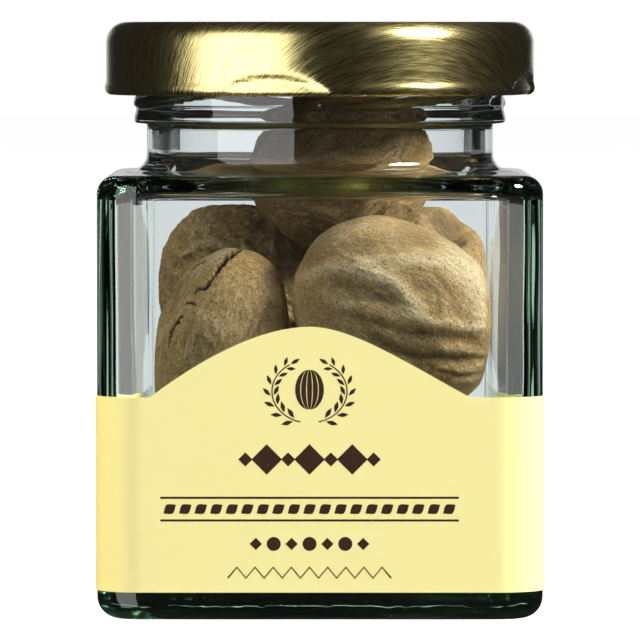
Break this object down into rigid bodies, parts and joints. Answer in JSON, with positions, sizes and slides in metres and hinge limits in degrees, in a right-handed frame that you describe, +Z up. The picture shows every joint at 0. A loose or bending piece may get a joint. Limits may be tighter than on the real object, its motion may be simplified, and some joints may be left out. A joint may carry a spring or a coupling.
{
  "type": "jar of whole nutmegs",
  "caption": "Square clear glass spice jar with a gold twist-off lid and a pale yellow wave-topped label, filled with loose whole nutmegs.",
  "frame": {"origin": "middle of the jar's base, on the surface that it stands on", "axes": "+Z up through the lid, -Y out of the labelled front, +X to the right seen from the front"},
  "size_m": [0.0518, 0.0516, 0.0687],
  "materials": {
    "glass": "smooth clear container glass, faintly green where it is thick",
    "lid_gold": "tinplate under a fine-brushed gold lacquer, satin",
    "label_paper": "pale yellow satin label paper with dark brown printed motifs",
    "nutmeg": "dry matte seed, furrowed, brown with pale ridges and fine dark specks"
  },
  "bodies": {
    "root": {"jar": "glass", "lid": "lid_gold", "label": "label_paper", "nutmeg_front_right": "nutmeg", "nutmeg_front_left": "nutmeg", "nutmeg_back_left": "nutmeg", "nutmeg_back_right": "nutmeg", "nutmeg_top": "nutmeg", "nutmeg_low_front": "nutmeg", "nutmeg_low_left": "nutmeg", "nutmeg_low_right": "nutmeg"}
  },
  "joints": []
}
